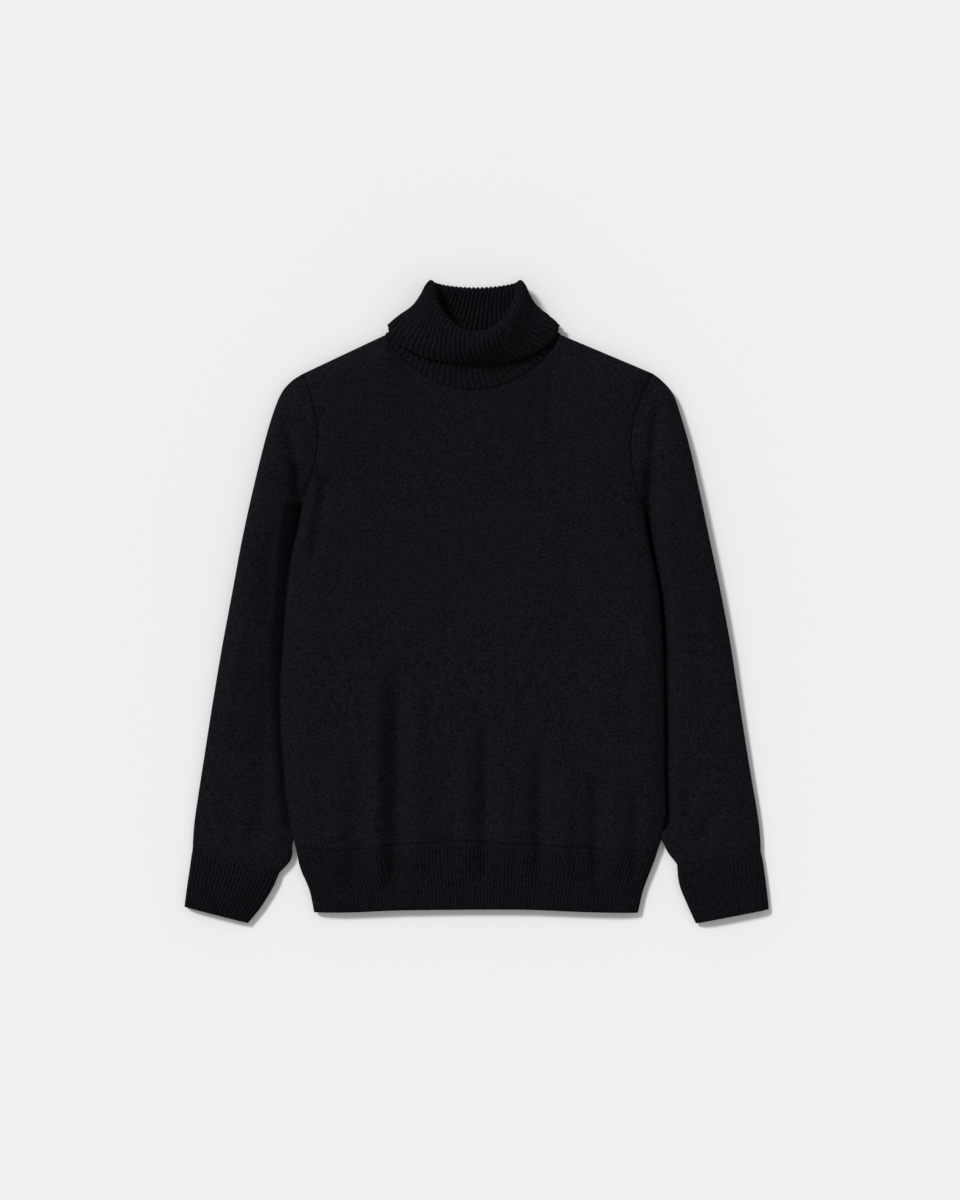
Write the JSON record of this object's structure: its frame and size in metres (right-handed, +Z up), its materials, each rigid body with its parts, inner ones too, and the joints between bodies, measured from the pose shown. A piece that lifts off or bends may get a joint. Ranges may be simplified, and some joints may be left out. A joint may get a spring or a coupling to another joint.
{
  "type": "turtleneck sweater",
  "caption": "Black fine-knit turtleneck sweater laid flat on its back, with folded ribbed collar, long sleeves, ribbed cuffs and hem.",
  "frame": {"origin": "on the surface under the middle of the sweater's bounding box", "axes": "+X across the sweater, towards the right of one who looks down at it with the neck away from them; +Y from hem to neck; +Z up from the surface"},
  "size_m": [0.6852, 0.7526, 0.0506],
  "materials": {
    "knit": "matt fine wool stockinette",
    "rib": "matt fine wool rib"
  },
  "bodies": {
    "root": {"front": "knit", "back": "knit", "sleeve_left": "knit", "sleeve_right": "knit", "hem_rib_front": "rib", "hem_rib_back": "rib", "cuff_left": "rib", "cuff_right": "rib", "collar": "rib"}
  },
  "joints": []
}
